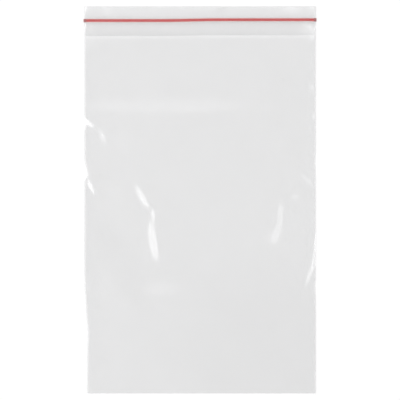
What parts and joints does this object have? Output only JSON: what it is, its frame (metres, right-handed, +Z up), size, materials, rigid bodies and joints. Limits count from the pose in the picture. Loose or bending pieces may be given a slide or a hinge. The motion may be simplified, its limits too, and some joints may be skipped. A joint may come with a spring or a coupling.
{
  "type": "press-to-close zipper bag",
  "caption": "Flat clear-film bag with welded sides and a red-lined press-to-close zipper across its mouth, lying empty and closed.",
  "frame": {"origin": "centre of the bag's underside, on the surface that it lies on", "axes": "+X across the bag, +Y along it towards the zipper, +Z up from the surface"},
  "size_m": [0.1504, 0.25, 0.0031],
  "materials": {
    "clear_film": "clear low-density polyethylene film, slightly hazy, glossy, with soft creases",
    "clear_strip": "clear low-density polyethylene, extruded, a little hazier than the film",
    "red_rib": "red low-density polyethylene, extruded, satin"
  },
  "bodies": {
    "root": {"bag_film": "clear_film", "channel_strip": "clear_strip", "rib_strip": "clear_strip", "red_rib": "red_rib"}
  },
  "joints": []
}
